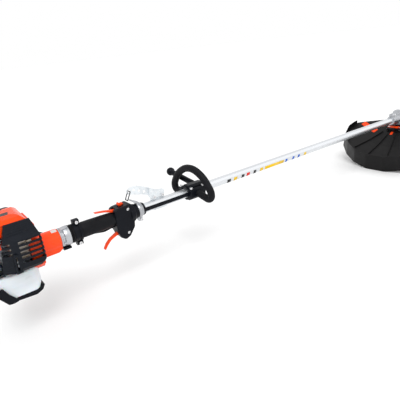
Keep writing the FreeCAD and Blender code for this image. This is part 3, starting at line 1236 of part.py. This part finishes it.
# ---------------------------------------------------------------- hand-in
def all_nodes():
    return {
        "clutch_housing": clutch_housing(),
        "clutch_drum": clutch_drum(),
        "clutch_shoes": clutch_shoes(),
        "flywheel": flywheel(),
        "crankshaft": crankshaft(),
        "crankcase": crankcase(),
        "ball_bearings": ball_bearings(),
        "cylinder": cylinder_block(),
        "spark_plug": spark_plug(),
        "ignition_coil": ignition_coil(),
        "muffler": muffler(),
        "muffler_cover": muffler_cover(),
        "engine_cover": engine_cover(),
        "starter_cover": starter_cover(),
        "starter_pulley": starter_pulley(),
        "starter_handle": starter_handle(),
        "carburettor": carburettor(),
        "throttle_cam": throttle_cam(),
        "purge_bulb": purge_bulb(),
        "choke_lever": choke_lever(),
        "air_cleaner_case": air_cleaner_case(),
        "air_filter": air_filter(),
        "air_cleaner_cover": air_cleaner_cover(),
        "air_cleaner_knob": air_cleaner_knob(),
        "fuel_tank": fuel_tank(),
        "fuel_cap": fuel_cap(),
        "fuel_lines": fuel_lines(),
        "tank_guard": tank_guard(),
        "isolator_bell": isolator_bell(),
        "isolator_rubber": isolator_rubber(),
        "rear_collar": rear_collar(),
        "rear_grip": rear_grip(),
        "throttle_housing_left": throttle_half(1),
        "throttle_housing_right": throttle_half(-1),
        "throttle_trigger": throttle_trigger(),
        "throttle_lock": throttle_lock(),
        "stop_switch": stop_switch(),
        "throttle_cable": throttle_cable(),
        "clamp_ring": clamp_ring(),
        "drive_tube": drive_tube(),
        "tube_bushes": tube_bushes(),
        "drive_shaft": drive_shaft(),
        "handle_spacer": handle_spacer(),
        "hanger_clamp": hanger_clamp(),
        "hanger_plate": hanger_plate(),
        "hanger_link": hanger_link(),
        "handle_clamp": handle_clamp(),
        "loop_handle": loop_handle(),
        "barrier_bar": barrier_bar(),
        "m5_screws": m5_screws(),
        "gear_case": gear_case(),
        "pinion_gear": pinion_gear(),
        "output_gear": output_gear(),
        "output_shaft": output_shaft(),
        "blade_holder": blade_holder(),
        "blade": blade(),
        "stabiliser_cup": stabiliser_cup(),
        "blade_nut": blade_nut(),
        "shield": shield(),
        "shield_accents": shield_accents(),
    }


os.makedirs("parts", exist_ok=True)
for name, shape in all_nodes().items():
    shape.translate(ORIGIN * -1)
    shape.exportStep("parts/%s.step" % name)
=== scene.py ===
import json
import math

import bpy
import bmesh
from mathutils import Matrix, Vector


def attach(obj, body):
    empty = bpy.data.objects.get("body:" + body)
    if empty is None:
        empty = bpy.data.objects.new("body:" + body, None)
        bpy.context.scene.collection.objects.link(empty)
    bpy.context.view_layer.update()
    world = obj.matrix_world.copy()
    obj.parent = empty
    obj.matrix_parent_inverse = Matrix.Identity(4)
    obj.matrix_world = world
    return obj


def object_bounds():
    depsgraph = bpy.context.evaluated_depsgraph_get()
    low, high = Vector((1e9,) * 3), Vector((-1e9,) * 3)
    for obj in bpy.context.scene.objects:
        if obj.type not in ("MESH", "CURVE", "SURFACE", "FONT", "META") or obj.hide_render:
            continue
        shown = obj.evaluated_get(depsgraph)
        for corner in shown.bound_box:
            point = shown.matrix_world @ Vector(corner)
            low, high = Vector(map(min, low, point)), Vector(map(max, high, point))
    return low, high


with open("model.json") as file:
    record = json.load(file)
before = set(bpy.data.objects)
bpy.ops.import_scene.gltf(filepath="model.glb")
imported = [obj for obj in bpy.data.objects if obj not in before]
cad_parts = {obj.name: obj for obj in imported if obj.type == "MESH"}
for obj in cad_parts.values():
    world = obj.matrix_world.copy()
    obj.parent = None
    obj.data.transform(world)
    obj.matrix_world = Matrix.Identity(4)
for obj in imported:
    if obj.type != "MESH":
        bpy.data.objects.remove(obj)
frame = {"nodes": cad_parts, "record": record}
CAD_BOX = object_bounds()
NODES = frame["nodes"]

# The CAD was drawn about the drive tube: x = 0 at the clutch housing's front face and
# y = z = 0 on the tube's axis, in millimetres. AXIS is that point in the row frame.
AXIS = Vector((-0.7714, 0.0, 0.20782))
MM = 0.001
TUBE_R = 14.0

# The blade's shaft crosses the tube's axis at HEAD_X, its lower end tilted forward by TILT.
HEAD_X = 1615.0
TILT = math.radians(30.0)
FLANGE_DOWN = 19.0        # top face of the gear case's flange, down the blade axis
FLANGE_T = 5.0
COVER_T = 1.2             # how far the hub cover stands above the flange
DROP = 11.0               # height above the flange that films on the shield are dropped from

WORLD = 1.0               # strength of the white surround
FLOOR = 0.85              # brightness of the floor
FLOOR_HALF = 60.0         # metres from the middle of the floor to its edge
FILM_GAP = 0.05           # millimetres between a film's underside and what it lies on
FILM_TOP = 0.3            # and its upper side
PATCH_UNDER = 0.15        # the same two gaps for the films wrapped on the drive tube
PATCH_OVER = 0.35
MARK_ARC = (176.0, 232.0)  # degrees from +Y towards +Z that the tube's marks cover


def at(x, y, z):
    """Row-frame metres of a point given in the tube's millimetres."""
    return AXIS + Vector((x, y, z)) * MM


def along_deck(back, left, down):
    """Millimetres about the tube of a point given along the shield's own axes."""
    away = Vector((-math.cos(TILT), 0, -math.sin(TILT)))
    below = Vector((math.sin(TILT), 0, -math.cos(TILT)))
    return Vector((HEAD_X, 0, 0)) + away * back + Vector((0, left, 0)) + below * down


# ---------------------------------------------------------------- materials
class Surface:
    """A principled material with helpers for procedural colour, gloss and bump."""

    def __init__(self, name, colour, rough, metal=0.0, **sockets):
        self.material = bpy.data.materials.new(name)
        self.material.use_nodes = True
        self.tree = self.material.node_tree
        self.shader = self.tree.nodes["Principled BSDF"]
        self.coords = self.tree.nodes.new("ShaderNodeTexCoord").outputs["Object"]
        self.colour = colour
        self.rough = rough
        self.shader.inputs["Base Color"].default_value = (*colour, 1.0)
        self.shader.inputs["Roughness"].default_value = rough
        self.shader.inputs["Metallic"].default_value = metal
        for socket, value in sockets.items():
            self.shader.inputs[socket.replace("_", " ")].default_value = value
        self.normal = None

    def node(self, kind, **values):
        made = self.tree.nodes.new(kind)
        for key, value in values.items():
            made.inputs[key.replace("_", " ")].default_value = value
        return made

    def link(self, start, end):
        self.tree.links.new(start, end)

    def noise(self, scale, detail=3.0, stretch=None):
        made = self.node("ShaderNodeTexNoise", Scale=scale, Detail=detail)
        coords = self.coords
        if stretch:
            mapping = self.node("ShaderNodeMapping", Scale=stretch)
            self.link(coords, mapping.inputs["Vector"])
            coords = mapping.outputs["Vector"]
        self.link(coords, made.inputs["Vector"])
        return made.outputs["Fac"]

    def ramp(self, value, low, high, first, last):
        made = self.tree.nodes.new("ShaderNodeValToRGB")
        made.color_ramp.elements[0].position = low
        made.color_ramp.elements[1].position = high
        made.color_ramp.elements[0].color = (*first, 1.0)
        made.color_ramp.elements[1].color = (*last, 1.0)
        self.link(value, made.inputs["Fac"])
        return made.outputs["Color"]

    def vary_colour(self, scale, low, high, stretch=None):
        """Colour drifts between low and high times the base colour."""
        first = [min(c * low, 1.0) for c in self.colour]
        last = [min(c * high, 1.0) for c in self.colour]
        tint = self.ramp(self.noise(scale, 4.0, stretch), 0.3, 0.7, first, last)
        self.link(tint, self.shader.inputs["Base Color"])
        return tint

    def scuff(self, scale, colour, amount, stretch=None):
        """Sparse rubbed marks of another colour over the drifting base colour."""
        under = self.shader.inputs["Base Color"].links[0].from_socket
        mask = self.ramp(self.noise(scale, 8.0, stretch), 0.62, 0.76, (0, 0, 0), (amount,) * 3)
        mix = self.tree.nodes.new("ShaderNodeMix")
        mix.data_type = "RGBA"
        self.link(mask, mix.inputs["Factor"])
        self.link(under, mix.inputs[6])
        mix.inputs[7].default_value = (*colour, 1.0)
        self.link(mix.outputs[2], self.shader.inputs["Base Color"])

    def vary_rough(self, scale, low, high, stretch=None):
        spread = self.node("ShaderNodeMapRange", From_Min=0.3, From_Max=0.7, To_Min=low,
                           To_Max=high)
        self.link(self.noise(scale, 5.0, stretch), spread.inputs["Value"])
        self.link(spread.outputs["Result"], self.shader.inputs["Roughness"])

    def soft_edges(self, radius):
        made = self.node("ShaderNodeBevel", Radius=radius)
        made.samples = 4
        self.normal = made.outputs["Normal"]
        self.link(self.normal, self.shader.inputs["Normal"])

    def bump(self, height, strength, distance):
        made = self.node("ShaderNodeBump", Strength=strength, Distance=distance)
        self.link(height, made.inputs["Height"])
        if self.normal:
            self.link(self.normal, made.inputs["Normal"])
        self.normal = made.outputs["Normal"]
        self.link(self.normal, self.shader.inputs["Normal"])

    def grain(self, scale, strength, distance, stretch=None):
        self.bump(self.noise(scale, 2.0, stretch), strength, distance)


def moulded(name, colour, rough, grain, mark, **sockets):
    """Injection moulded plastic: fine spark grain, slight drift of tone, rubbed marks."""
    made = Surface(name, colour, rough, **sockets)
    made.vary_colour(14.0, 0.86, 1.14)
    made.scuff(60.0, mark, 0.35)
    made.vary_rough(35.0, rough - 0.07, rough + 0.09)
    made.soft_edges(0.0009)
    made.grain(2600.0, grain, 0.0002)
    return made.material


def cast(name, colour, rough, grain):
    """Blasted die casting: coarse skin, darker patches and a little tumbling polish."""
    made = Surface(name, colour, rough, 1.0)
    made.vary_colour(24.0, 0.8, 1.08)
    made.scuff(90.0, [c * 0.55 for c in colour], 0.5)
    made.vary_rough(70.0, rough - 0.08, rough + 0.12)
    made.soft_edges(0.0009)
    made.grain(900.0, grain, 0.0004)
    return made.material


def machined(name, colour, rough, stretch, grain=0.12):
    """Turned or drawn metal with fine lines along one direction."""
    made = Surface(name, colour, rough, 1.0)
    made.vary_colour(30.0, 0.9, 1.05)
    made.vary_rough(240.0, rough - 0.06, rough + 0.1, stretch)
    made.soft_edges(0.0005)
    made.grain(900.0, grain, 0.0001, stretch)
    return made.material


def felt():
    """Fibrous filter block."""
    made = Surface("felt", (0.62, 0.58, 0.46), 0.95, Sheen_Weight=0.4)
    made.vary_colour(220.0, 0.8, 1.15)
    made.grain(1500.0, 0.6, 0.0006)
    return made.material


def milky():
    """Blow moulded tank: cloudy, faintly blue, a little light goes through."""
    made = Surface("milky_plastic", (0.69, 0.715, 0.75), 0.32, Subsurface_Weight=0.2,
                   Subsurface_Scale=0.01, Coat_Weight=0.15, Coat_Roughness=0.2)
    made.vary_colour(20.0, 0.93, 1.06, (1.0, 1.0, 2.2))
    made.vary_rough(30.0, 0.26, 0.42)
    made.soft_edges(0.0012)
    made.grain(320.0, 0.15, 0.0006)
    return made.material


def tube_skin():
    """Polished drawn tube: bright, with long drawing lines and faint handling marks."""
    made = Surface("polished_tube", (0.7, 0.72, 0.745), 0.26, 0.9, Coat_Weight=0.1,
                   Coat_Roughness=0.12)
    made.vary_colour(9.0, 0.93, 1.05, (0.3, 1.0, 1.0))
    made.scuff(110.0, (0.6, 0.62, 0.64), 0.3, (0.25, 1.0, 1.0))
    made.vary_rough(120.0, 0.2, 0.34, (0.04, 1.0, 1.0))
    made.grain(1400.0, 0.08, 0.0001, (0.02, 1.0, 1.0))
    return made.material


def heat_steel():
    """Bare sheet steel, tinted brown in patches by heat."""
    made = Surface("heat_steel", (0.62, 0.57, 0.5), 0.34, 1.0)
    tint = made.ramp(made.noise(30.0, 4.0), 0.35, 0.68, (0.42, 0.31, 0.2), (0.7, 0.68, 0.66))
    made.link(tint, made.shader.inputs["Base Color"])
    made.vary_rough(90.0, 0.28, 0.5)
    made.grain(500.0, 0.2, 0.0003)
    return made.material


def rubber(name, colour, rough):
    """Matt moulded rubber with a fine skin."""
    made = Surface(name, colour, rough, Specular_IOR_Level=0.12)
    made.vary_colour(26.0, 0.8, 1.25)
    made.scuff(130.0, [0.4 * c + 0.012 for c in colour], 0.3)
    made.vary_rough(50.0, rough - 0.06, rough + 0.1)
    made.soft_edges(0.0008)
    made.grain(1700.0, 0.28, 0.0003)
    return made.material


ORANGE = (0.86, 0.06, 0.006)
ORANGE_RUBBED = (0.9, 0.07, 0.025)
BLACK = (0.004, 0.005, 0.008)
BLACK_RUBBED = (0.03, 0.031, 0.034)
ALLOY = (0.52, 0.535, 0.56)
MATERIALS = {
    "orange_plastic": moulded("orange_plastic", ORANGE, 0.27, 0.05, ORANGE_RUBBED,
                              Specular_IOR_Level=0.12, Coat_Weight=0.08, Coat_Roughness=0.06),
    "orange_paint": moulded("orange_paint", ORANGE, 0.24, 0.04, ORANGE_RUBBED,
                            Specular_IOR_Level=0.12, Coat_Weight=0.3, Coat_Roughness=0.05),
    "black_plastic": moulded("black_plastic", BLACK, 0.34, 0.15, BLACK_RUBBED,
                             Specular_IOR_Level=0.12),
    "black_gloss": moulded("black_gloss", (0.005, 0.0068, 0.011), 0.26, 0.12,
                           BLACK_RUBBED, Specular_IOR_Level=0.16),
    "shield_plastic": moulded("shield_plastic", (0.0085, 0.0082, 0.0085), 0.4, 0.25,
                              (0.03, 0.029, 0.029), Specular_IOR_Level=0.14),
    "rubber": rubber("rubber", (0.006, 0.0064, 0.008), 0.5),
    "bulb_rubber": rubber("bulb_rubber", (0.55, 0.5, 0.38), 0.3),
    "milky_plastic": milky(),
    "cast_alloy": cast("cast_alloy", ALLOY, 0.34, 0.3),
    "polished_tube": tube_skin(),
    "steel": machined("steel", (0.5, 0.5, 0.51), 0.32, (0.05, 1.0, 1.0)),
    "bright_steel": machined("bright_steel", (0.78, 0.78, 0.79), 0.2, (1.0, 0.2, 1.0)),
    "heat_steel": heat_steel(),
    "blade_steel": machined("blade_steel", (0.6, 0.61, 0.62), 0.28, (1.0, 0.06, 1.0), 0.2),
    "zinc": cast("zinc", (0.8, 0.84, 0.87), 0.3, 0.1),
    "dark_steel": machined("dark_steel", (0.05, 0.052, 0.058), 0.35, (0.2, 1.0, 1.0)),
    "felt": felt(),
}
# nodes whose visible finish isn't simply that of their slot in the record
FINISH = {"muffler_cover": "black_gloss", "shield": "shield_plastic",
          "starter_cover": "black_gloss", "hanger_clamp": "zinc", "hanger_link": "dark_steel",
          "m5_screws": "bright_steel"}


def paint(piece, material):
    piece.data.materials.clear()
    piece.data.materials.append(material)


for entry in frame["record"]["subparts"]:
    node, slot_name = entry["node"], entry["material_slot"]
    material = MATERIALS[FINISH.get(node, slot_name)]
    for held in NODES[node].material_slots:
        held.material = material
    if not NODES[node].material_slots:
        NODES[node].data.materials.append(material)


# ---------------------------------------------------------------- camera and light
def place_camera():
    """Camera above the right of the engine, looking forward and left across the tube."""
    data = bpy.data.cameras.new("camera")
    data.lens = 36.0
    data.sensor_width = 36.0
    data.clip_start = 0.02
    camera = bpy.data.objects.new("camera", data)
    bpy.context.scene.collection.objects.link(camera)
    right = Vector((0.7903, -0.6043, -0.1014)).normalized()
    up = Vector((0.2957, 0.2311, 0.9269))
    up = (up - right * up.dot(right)).normalized()
    back = right.cross(up)
    turn = Matrix((right, up, back)).transposed().to_4x4()
    camera.matrix_world = Matrix.Translation(at(-238.5, -956.7, 415.0)) @ turn
    bpy.context.scene.camera = camera


def sun_light(name, direction, strength, spread):
    data = bpy.data.lights.new(name, "SUN")
    data.energy = strength
    data.angle = math.radians(spread)
    light = bpy.data.objects.new(name, data)
    bpy.context.scene.collection.objects.link(light)
    light.rotation_euler = Vector(direction).to_track_quat("-Z", "Y").to_euler()


def studio():
    """Even white surround, two soft suns and a pale floor that runs to the horizon."""
    world = bpy.data.worlds.new("studio")
    world.use_nodes = True
    world.node_tree.nodes["Background"].inputs["Color"].default_value = (1.0, 1.0, 1.0, 1.0)
    world.node_tree.nodes["Background"].inputs["Strength"].default_value = WORLD
    bpy.context.scene.world = world
    bpy.context.scene.view_settings.view_transform = "Standard"
    sun_light("key", (0.35, 0.55, -1.0), 1.1, 30.0)
    sun_light("fill", (-0.7, 0.6, -0.6), 0.25, 60.0)
    mesh = bpy.data.meshes.new("floor")
    half = FLOOR_HALF
    mesh.from_pydata([(-half, -half, 0), (half, -half, 0), (half, half, 0), (-half, half, 0)],
                     [], [(0, 1, 2, 3)])
    floor = bpy.data.objects.new("floor", mesh)
    floor.location.z = CAD_BOX[0][2] - MM
    bpy.context.scene.collection.objects.link(floor)
    surface = Surface("floor", (FLOOR,) * 3, 0.9, Specular_IOR_Level=0.1)
    surface.vary_colour(3.0, 0.99, 1.01)
    paint(floor, surface.material)


place_camera()
studio()


# ---------------------------------------------------------------- piece makers
def mesh_piece(name, verts, faces, material, smooth=True):
    """Visible piece that rides on the machine, from row-frame points and faces."""
    mesh = bpy.data.meshes.new(name)
    mesh.from_pydata([tuple(v) for v in verts], [], faces)
    mesh.validate()
    shape = bmesh.new()
    shape.from_mesh(mesh)
    bmesh.ops.recalc_face_normals(shape, faces=shape.faces)
    shape.to_mesh(mesh)
    shape.free()
    for face in mesh.polygons:
        face.use_smooth = smooth
    piece = bpy.data.objects.new(name, mesh)
    bpy.context.scene.collection.objects.link(piece)
    paint(piece, material)
    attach(piece, "machine")
    return piece


def decal(name, node, corner, along, across, ray, material, lift=FILM_TOP, steps=8):
    """Thin film laid on a node: a flat grid in millimetres dropped on it along ray."""
    target = NODES[node]
    inside = target.matrix_world.inverted()
    way = Vector(ray).normalized()
    local = (inside.to_3x3() @ way).normalized()
    places = []
    for i in range(steps + 1):
        for j in range(steps + 1):
            spot = Vector(corner) + Vector(along) * (i / steps) + Vector(across) * (j / steps)
            found, place, _, _ = target.ray_cast(inside @ at(*spot), local)
            if not found:
                raise ValueError(name + " leaves the surface it lies on")
            places.append(target.matrix_world @ place)
    verts = [place - way * (FILM_GAP * MM) for place in places]
    verts += [place - way * (lift * MM) for place in places]
    row, layer = steps + 1, (steps + 1) ** 2
    faces = []
    for i in range(steps):
        for j in range(steps):
            a = i * row + j
            faces.append((a, a + 1, a + row + 1, a + row))
            faces.append(tuple(v + layer for v in (a, a + row, a + row + 1, a + 1)))
    edge = list(range(row)) + [i * row + steps for i in range(1, row)]
    edge += [steps * row + j for j in range(steps - 1, -1, -1)]
    edge += [i * row for i in range(steps - 1, 0, -1)]
    for a, b in zip(edge, edge[1:] + edge[:1]):
        faces.append((a, b, b + layer, a + layer))
    return mesh_piece(name, verts, faces, material, smooth=False)


def tube_patch(name, x0, x1, a0, a1, material, slot, steps=10):
    """Thin film wrapped on the drive tube between two stations and two angles from +Y."""
    verts, faces = [], []
    for radius in (TUBE_R + PATCH_UNDER, TUBE_R + PATCH_OVER):
        for x in (x0, x1):
            for i in range(steps + 1):
                angle = math.radians(a0 + (a1 - a0) * i / steps)
                verts.append(at(x, radius * math.cos(angle), radius * math.sin(angle)))
    row = steps + 1
    for i in range(steps):
        faces.append((i, i + 1, row + i + 1, row + i))
        faces.append((2 * row + i, 3 * row + i, 3 * row + i + 1, 2 * row + i + 1))
        faces.append((i, 2 * row + i, 2 * row + i + 1, i + 1))
        faces.append((row + i, row + i + 1, 3 * row + i + 1, 3 * row + i))
    faces.append((0, row, 3 * row, 2 * row))
    faces.append((steps, 2 * row + steps, 3 * row + steps, row + steps))
    return mesh_piece(name, verts, faces, material)


def film(name, colour):
    """Printed vinyl film."""
    made = Surface(name, colour, 0.4, Specular_IOR_Level=0.15, Coat_Weight=0.04)
    made.vary_colour(60.0, 0.92, 1.08)
    made.vary_rough(90.0, 0.24, 0.4)
    made.grain(1200.0, 0.08, 0.0001)
    return made.material


def prism(name, near, far, material):
    """Solid between two like outlines in row-frame points."""
    count = len(near)
    faces = [tuple(range(count)), tuple(range(2 * count - 1, count - 1, -1))]
    for i in range(count):
        after = (i + 1) % count
        faces.append((i, after, after + count, i + count))
    return mesh_piece(name, near + far, faces, material, smooth=False)


def block(name, span, wide, tall, material, chamfer=1.2):
    """Bar along x with chamfered long edges; each pair of limits is in millimetres."""
    c = chamfer
    (y0, y1), (z0, z1) = wide, tall
    outline = [(y0 + c, z0), (y1 - c, z0), (y1, z0 + c), (y1, z1 - c), (y1 - c, z1),
               (y0 + c, z1), (y0, z1 - c), (y0, z0 + c)]
    near, far = [[at(x, y, z) for y, z in outline] for x in span]
    return prism(name, near, far, material)


def deck_plate(name, outline, high, low, material):
    """Flat plate squared to the shield's axes, from high to low down the blade axis."""
    near, far = [[at(*along_deck(back, left, down)) for back, left in outline]
                 for down in (high, low)]
    return prism(name, near, far, material)


def deck_film(name, node, back, left, size, material, lift):
    """Film laid down the blade axis on a node, squared to the shield's axes."""
    above = FLANGE_DOWN - DROP
    start = along_deck(back, left, above)
    reach = along_deck(back + size[0], left, above) - start
    width = along_deck(back, left + size[1], above) - start
    way = along_deck(0, 0, 1.0) - along_deck(0, 0, 0)
    return decal(name, node, start, reach, width, way, material, lift)


FILMS = {
    "ink": film("film_ink", (0.02, 0.02, 0.022)),
    "yellow": film("film_yellow", (0.85, 0.55, 0.02)),
    "red": film("film_red", (0.7, 0.03, 0.02)),
    "blue": film("film_blue", (0.02, 0.12, 0.55)),
    "pale": film("film_pale", (0.6, 0.6, 0.58)),
}
# (first x, last x, colour) of the plain colour marks along the tube's near side
MARKS = [(541, 556, "ink"), (570, 584, "yellow"), (604, 616, "ink"), (627, 641, "red"),
         (659, 671, "ink"), (690, 704, "yellow"), (713, 809, "yellow"), (818, 828, "blue"),
         (856, 866, "blue"), (886, 896, "blue"), (921, 933, "yellow")]
for index, (x0, x1, ink) in enumerate(MARKS):
    tube_patch("tube_mark_%02d" % index, x0, x1, *MARK_ARC, FILMS[ink], "orange_plastic")

# blank plates where the machine carries its labels
DOWN = (0, 0, -1)
decal("nose_label", "clutch_housing", (-25, 0.5, 60), (13, 0, 0), (0, -12, 0), DOWN,
      FILMS["pale"])
decal("cover_badge", "engine_cover", (-121, -3, 130), (17, 0, 0), (-4, -19, 0), DOWN,
      FILMS["ink"])

# black cover over the gear case's flange, (back, left) outlines with chamfered corners
HUB_REAR = [(26, -36.8), (50, -36.8), (57, -34), (60.8, -26), (60.8, 26), (57, 34), (50, 36.8),
            (26, 36.8)]
HUB_LEFT = [(-23, 25), (26, 25), (26, 36.8), (-23, 36.8), (-30, 34), (-32.8, 27)]
HUB_RIGHT = [(back, -left) for back, left in HUB_LEFT]
HUB_STRIPE = [(37, -30), (50, -28), (50, 30), (37, 32)]
COVER_HIGH = FLANGE_DOWN - COVER_T
COVER_LOW = FLANGE_DOWN + FLANGE_T - 0.1
STRIPE_T = 0.8
for side, outline in (("rear", HUB_REAR), ("left", HUB_LEFT), ("right", HUB_RIGHT)):
    deck_plate("hub_cover_" + side, outline, COVER_HIGH, COVER_LOW,
               MATERIALS["black_plastic"])
deck_plate("hub_stripe", HUB_STRIPE, COVER_HIGH - STRIPE_T, COVER_HIGH,
           MATERIALS["orange_plastic"])
deck_film("hub_clip", "shield", 62, -3, (18, 11), MATERIALS["orange_plastic"],
          STRIPE_T)
block("isolator_stay", (-5.0, 15.0), (-12.0, 3.0), (-33.0, -27.2),
      MATERIALS["black_plastic"])
